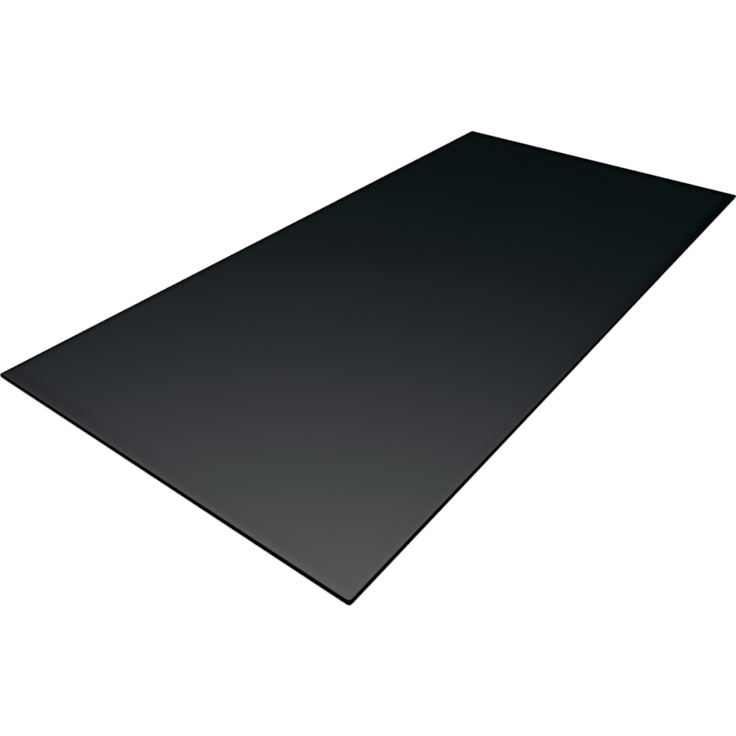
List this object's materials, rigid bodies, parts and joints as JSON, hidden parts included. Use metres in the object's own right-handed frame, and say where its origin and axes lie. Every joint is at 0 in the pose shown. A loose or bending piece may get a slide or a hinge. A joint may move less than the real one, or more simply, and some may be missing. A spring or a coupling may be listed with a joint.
{
  "type": "kick plate",
  "caption": "Thin black rectangular plate with bevelled front edges for the foot of a door, fixed by strips of foam tape under peel-off liners.",
  "frame": {"origin": "middle of the back, in the plane of the liners, which is the door's face once it is fitted", "axes": "+X across the door, along the long side; +Y up the door; +Z out of the front face, away from the door"},
  "size_m": [0.8128, 0.4064, 0.005],
  "materials": {
    "satin_plastic": "satin black with a fine grain",
    "foam_tape": "matt dark grey acrylic foam",
    "release_film": "red siliconed film"
  },
  "bodies": {
    "plate": {"face_plate": "satin_plastic", "tape_rail_top": "foam_tape", "tape_rail_bottom": "foam_tape", "tape_end_left": "foam_tape", "tape_end_right": "foam_tape", "tape_upright_left": "foam_tape", "tape_upright_centre": "foam_tape", "tape_upright_right": "foam_tape"},
    "rail_top_film": {"liner_rail_top": "release_film"},
    "rail_bottom_film": {"liner_rail_bottom": "release_film"},
    "end_left_film": {"liner_end_left": "release_film"},
    "end_right_film": {"liner_end_right": "release_film"},
    "upright_left_film": {"liner_upright_left": "release_film"},
    "upright_centre_film": {"liner_upright_centre": "release_film"},
    "upright_right_film": {"liner_upright_right": "release_film"}
  },
  "joints": [
    {"name": "peel_rail_top", "type": "slide", "parent": "plate", "child": "rail_top_film", "axis": [0, 0, -1], "range_m": [0, 0.03]},
    {"name": "peel_rail_bottom", "type": "slide", "parent": "plate", "child": "rail_bottom_film", "axis": [0, 0, -1], "range_m": [0, 0.03]},
    {"name": "peel_end_left", "type": "slide", "parent": "plate", "child": "end_left_film", "axis": [0, 0, -1], "range_m": [0, 0.03]},
    {"name": "peel_end_right", "type": "slide", "parent": "plate", "child": "end_right_film", "axis": [0, 0, -1], "range_m": [0, 0.03]},
    {"name": "peel_upright_left", "type": "slide", "parent": "plate", "child": "upright_left_film", "axis": [0, 0, -1], "range_m": [0, 0.03]},
    {"name": "peel_upright_centre", "type": "slide", "parent": "plate", "child": "upright_centre_film", "axis": [0, 0, -1], "range_m": [0, 0.03]},
    {"name": "peel_upright_right", "type": "slide", "parent": "plate", "child": "upright_right_film", "axis": [0, 0, -1], "range_m": [0, 0.03]}
  ]
}
